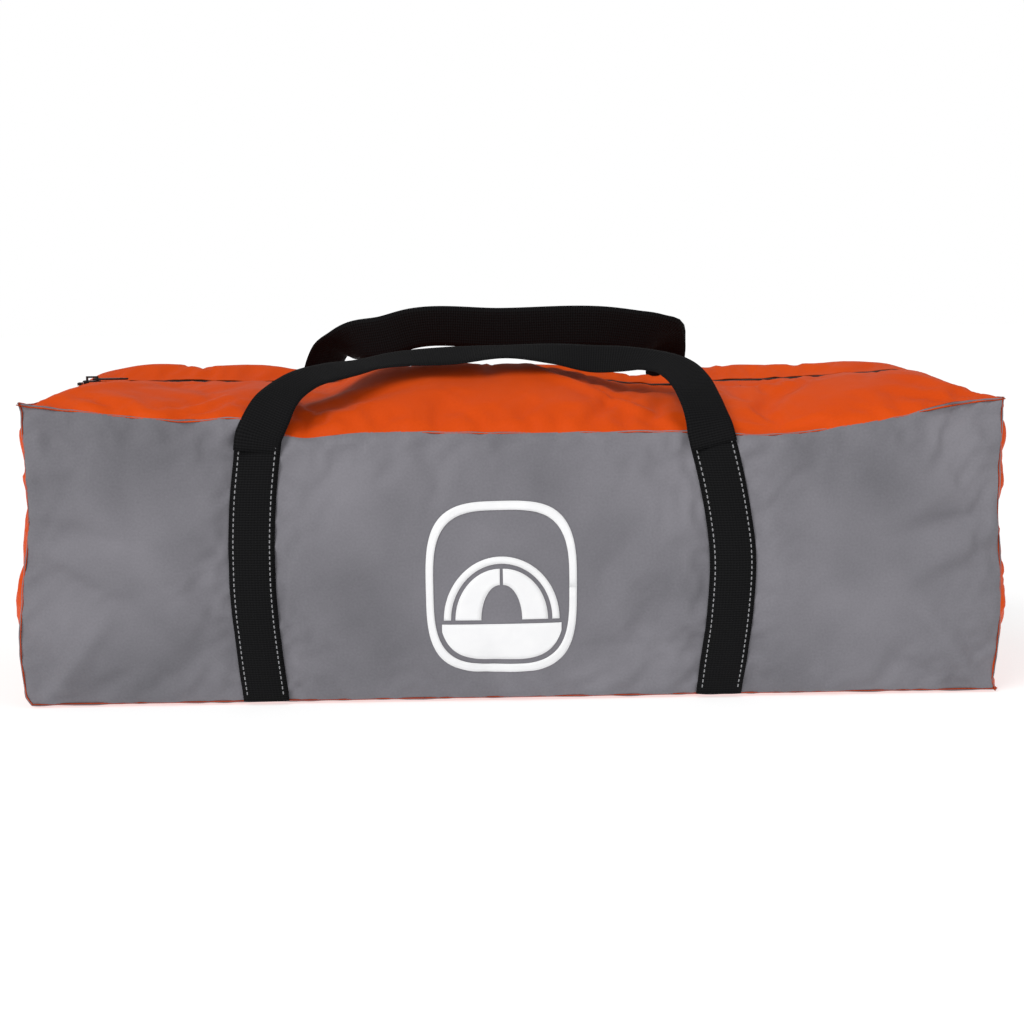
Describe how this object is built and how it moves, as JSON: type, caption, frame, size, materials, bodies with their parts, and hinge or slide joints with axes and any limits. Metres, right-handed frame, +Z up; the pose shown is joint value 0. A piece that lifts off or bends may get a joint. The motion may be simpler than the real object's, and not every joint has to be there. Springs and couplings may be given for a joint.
{
  "type": "packed tunnel tent",
  "caption": "Tunnel tent rolled up in its long zipped carry bag, with webbing handles, a zip mouth that folds open, and the poles, pegs and cloth inside.",
  "frame": {"origin": "middle of the flat base, on the surface the bag stands on", "axes": "+X along the bag to its right end, +Y from the printed front panel to the rear panel, +Z up"},
  "size_m": [0.68, 0.2482, 0.2744],
  "materials": {
    "grey_polyester": "satin",
    "orange_polyester": "satin",
    "black_webbing": "matte",
    "grey_thread": "matte",
    "white_print": "satin",
    "zip_tape": "matte",
    "zip_coil": "satin",
    "zip_metal": "gloss",
    "groundsheet_cloth": "satin",
    "inner_tent_cloth": "matte",
    "flysheet_cloth": "satin",
    "tie_webbing": "matte",
    "buckle_plastic": "satin",
    "small_bag_cloth": "satin",
    "fibreglass": "satin",
    "bright_steel": "satin"
  },
  "bodies": {
    "root": {"bottom_panel": "orange_polyester", "flysheet_roll": "flysheet_cloth", "flysheet_ties": "tie_webbing", "front_hoop_ferrules": "bright_steel", "front_hoop_sections": "fibreglass", "front_left_webbing": "black_webbing", "front_panel": "grey_polyester", "front_print": "white_print", "front_right_webbing": "black_webbing", "groundsheet_fold": "groundsheet_cloth", "inner_tent_roll": "inner_tent_cloth", "inner_tent_ties": "tie_webbing", "left_end_panel": "orange_polyester", "left_top_panel": "orange_polyester", "middle_hoop_ferrules": "bright_steel", "middle_hoop_sections": "fibreglass", "peg_bag": "small_bag_cloth", "pole_bag": "small_bag_cloth", "pole_end_tips": "bright_steel", "rear_hoop_ferrules": "bright_steel", "rear_hoop_sections": "fibreglass", "rear_left_webbing": "black_webbing", "rear_panel": "grey_polyester", "rear_right_webbing": "black_webbing", "right_end_panel": "orange_polyester", "right_top_panel": "orange_polyester", "tent_pegs": "bright_steel", "tie_buckles": "buckle_plastic", "zip_bottom_stop": "zip_metal", "zip_coil_left_end": "zip_coil", "zip_coil_right_end": "zip_coil", "zip_tape_left_end": "zip_tape", "zip_tape_right_end": "zip_tape", "zip_top_stops": "zip_metal"},
    "front_flap": {"front_top_panel": "orange_polyester", "zip_tape_front": "zip_tape", "zip_coil_front": "zip_coil"},
    "rear_flap": {"rear_top_panel": "orange_polyester", "zip_tape_rear": "zip_tape", "zip_coil_rear": "zip_coil"},
    "slider": {"zip_slider": "zip_metal"},
    "pull_tab": {"zip_pull_tab": "zip_metal"},
    "front_handle": {"front_handle_grip": "black_webbing"},
    "rear_handle": {"rear_handle_grip": "black_webbing"}
  },
  "joints": [
    {"name": "front_flap_open", "type": "hinge", "parent": "root", "child": "front_flap", "pos_m": [0, -0.112, 0.192], "axis": [1, 0, 0], "range_deg": [0, 65]},
    {"name": "rear_flap_open", "type": "hinge", "parent": "root", "child": "rear_flap", "pos_m": [0, 0.112, 0.192], "axis": [-1, 0, 0], "range_deg": [0, 65]},
    {"name": "zip_slide", "type": "slide", "parent": "root", "child": "slider", "axis": [1, 0, 0], "range_m": [0, 0.5806]},
    {"name": "pull_tab_flip", "type": "hinge", "parent": "slider", "child": "pull_tab", "pos_m": [-0.308, 0, 0.224], "axis": [0, -1, 0], "range_deg": [0, 140]},
    {"name": "front_handle_swing", "type": "hinge", "parent": "front_flap", "child": "front_handle", "pos_m": [-0.015, -0.1175, 0.196], "axis": [1, 0, 0], "range_deg": [0, 145]},
    {"name": "rear_handle_swing", "type": "hinge", "parent": "rear_flap", "child": "rear_handle", "pos_m": [-0.015, 0.1175, 0.196], "axis": [-1, 0, 0], "range_deg": [-20, 124]}
  ],
  "couplings": [
    {"joint": "rear_flap_open", "follows": "front_flap_open", "ratio": 1},
    {"joint": "zip_slide", "follows": "front_flap_open", "m_per_rad": 0.5117}
  ]
}
